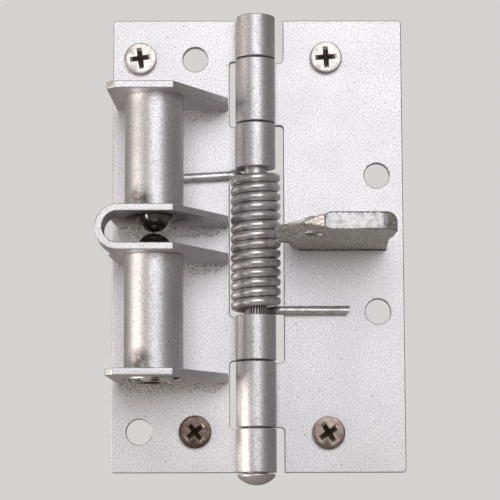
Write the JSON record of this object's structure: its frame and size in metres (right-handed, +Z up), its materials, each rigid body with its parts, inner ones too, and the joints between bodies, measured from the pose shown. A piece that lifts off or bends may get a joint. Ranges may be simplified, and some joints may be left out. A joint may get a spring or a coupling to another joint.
{
  "type": "spring loaded door hinge",
  "caption": "Self-closing door hinge: a torsion spring round the pin shuts the leaves, and sprung balls in a fork grip a tongue on the door leaf to hold the door open.",
  "frame": {"origin": "middle of the frame leaf's screw holes, on the leaf's back face that lies on the door frame", "axes": "+Z up along the pin, +Y into the wood behind the leaves, +X from the frame leaf across the pin to the door leaf; the leaves lie open flat, as with the door shut"},
  "size_m": [0.0839, 0.0664, 0.1305],
  "materials": {
    "silver_coat": "satin silver paint with a fine grain",
    "pin_steel": "satin, finely knurled above the spring",
    "spring_steel": "drawn wire",
    "plug_steel": "dull",
    "ball_steel": "polished",
    "tongue_steel": "rough, with silver paint worn off its nose",
    "screw_nickel": "nickel plated",
    "screw_bronzed": "dull, darker plated"
  },
  "bodies": {
    "frame": {"frame_leaf": "silver_coat", "hinge_pin": "pin_steel", "torsion_spring": "spring_steel", "top_ear": "silver_coat", "bottom_ear": "silver_coat", "fork_bracket": "silver_coat", "upper_tube": "silver_coat", "lower_tube": "silver_coat", "upper_plug": "plug_steel", "lower_plug": "plug_steel", "upper_catch_spring": "spring_steel", "lower_catch_spring": "spring_steel", "frame_screw_top": "screw_nickel", "frame_screw_bottom": "screw_bronzed"},
    "door": {"door_leaf": "silver_coat", "striker_tongue": "tongue_steel", "door_screw_top": "screw_nickel", "door_screw_bottom": "screw_bronzed"},
    "upper_catch_ball": {"upper_ball": "ball_steel"},
    "lower_catch_ball": {"lower_ball": "ball_steel"}
  },
  "joints": [
    {"name": "leaf_fold", "type": "hinge", "parent": "frame", "child": "door", "pos_m": [0.0245, -0.00555, 0], "axis": [0, 0, -1], "range_deg": [0, 93], "stiffness_Nm_per_rad": 0.74, "springref_deg": -18.91, "deforming": ["torsion_spring"]},
    {"name": "upper_ball_slide", "type": "slide", "parent": "frame", "child": "upper_catch_ball", "axis": [0, 0, 1], "range_m": [0, 0.0028], "deforming": ["upper_catch_spring"]},
    {"name": "lower_ball_slide", "type": "slide", "parent": "frame", "child": "lower_catch_ball", "axis": [0, 0, -1], "range_m": [0, 0.0028], "deforming": ["lower_catch_spring"]}
  ],
  "couplings": [
    {"joint": "upper_ball_slide", "follows": "leaf_fold", "m_per_rad": 0.001694},
    {"joint": "lower_ball_slide", "follows": "leaf_fold", "m_per_rad": 0.001694}
  ]
}
